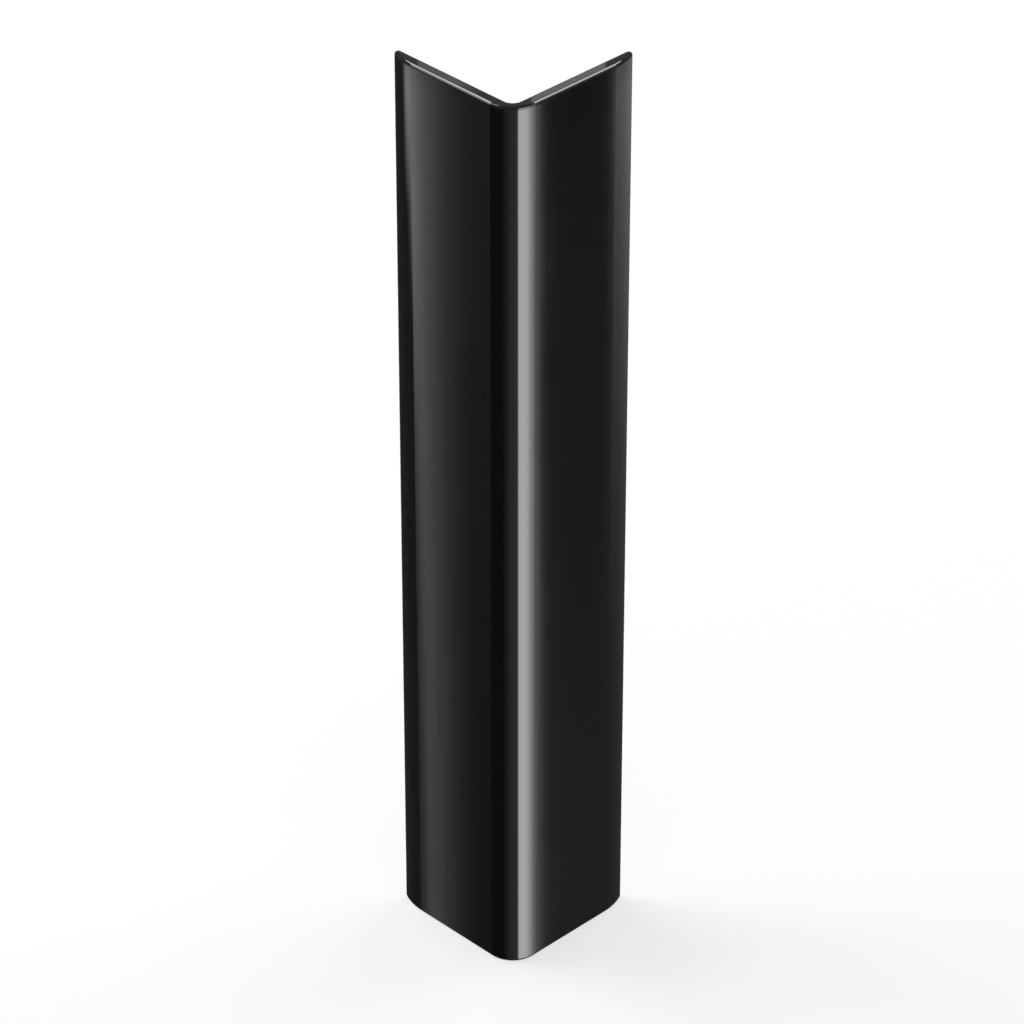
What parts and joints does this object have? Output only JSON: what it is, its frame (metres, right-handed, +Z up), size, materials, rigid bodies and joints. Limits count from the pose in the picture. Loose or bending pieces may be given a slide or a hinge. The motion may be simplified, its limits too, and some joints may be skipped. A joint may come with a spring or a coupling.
{
  "type": "corner guard moulding",
  "caption": "Straight L-shaped corner guard strip in glossy black plastic, with a rounded nose, legs thinning to rounded free edges and softly rounded ends.",
  "frame": {"origin": "the sharp line where the two wall faces would meet, at the lower end face", "axes": "+X and +Y each run along one leg from the corner towards its free edge and point straight out of the other leg's wall face, +Z runs up the length of the strip; the rounded nose points to -X -Y"},
  "size_m": [0.05, 0.05, 0.3],
  "materials": {
    "black_plastic": "smooth moulded gloss"
  },
  "bodies": {
    "root": {"corner_guard": "black_plastic"}
  },
  "joints": []
}
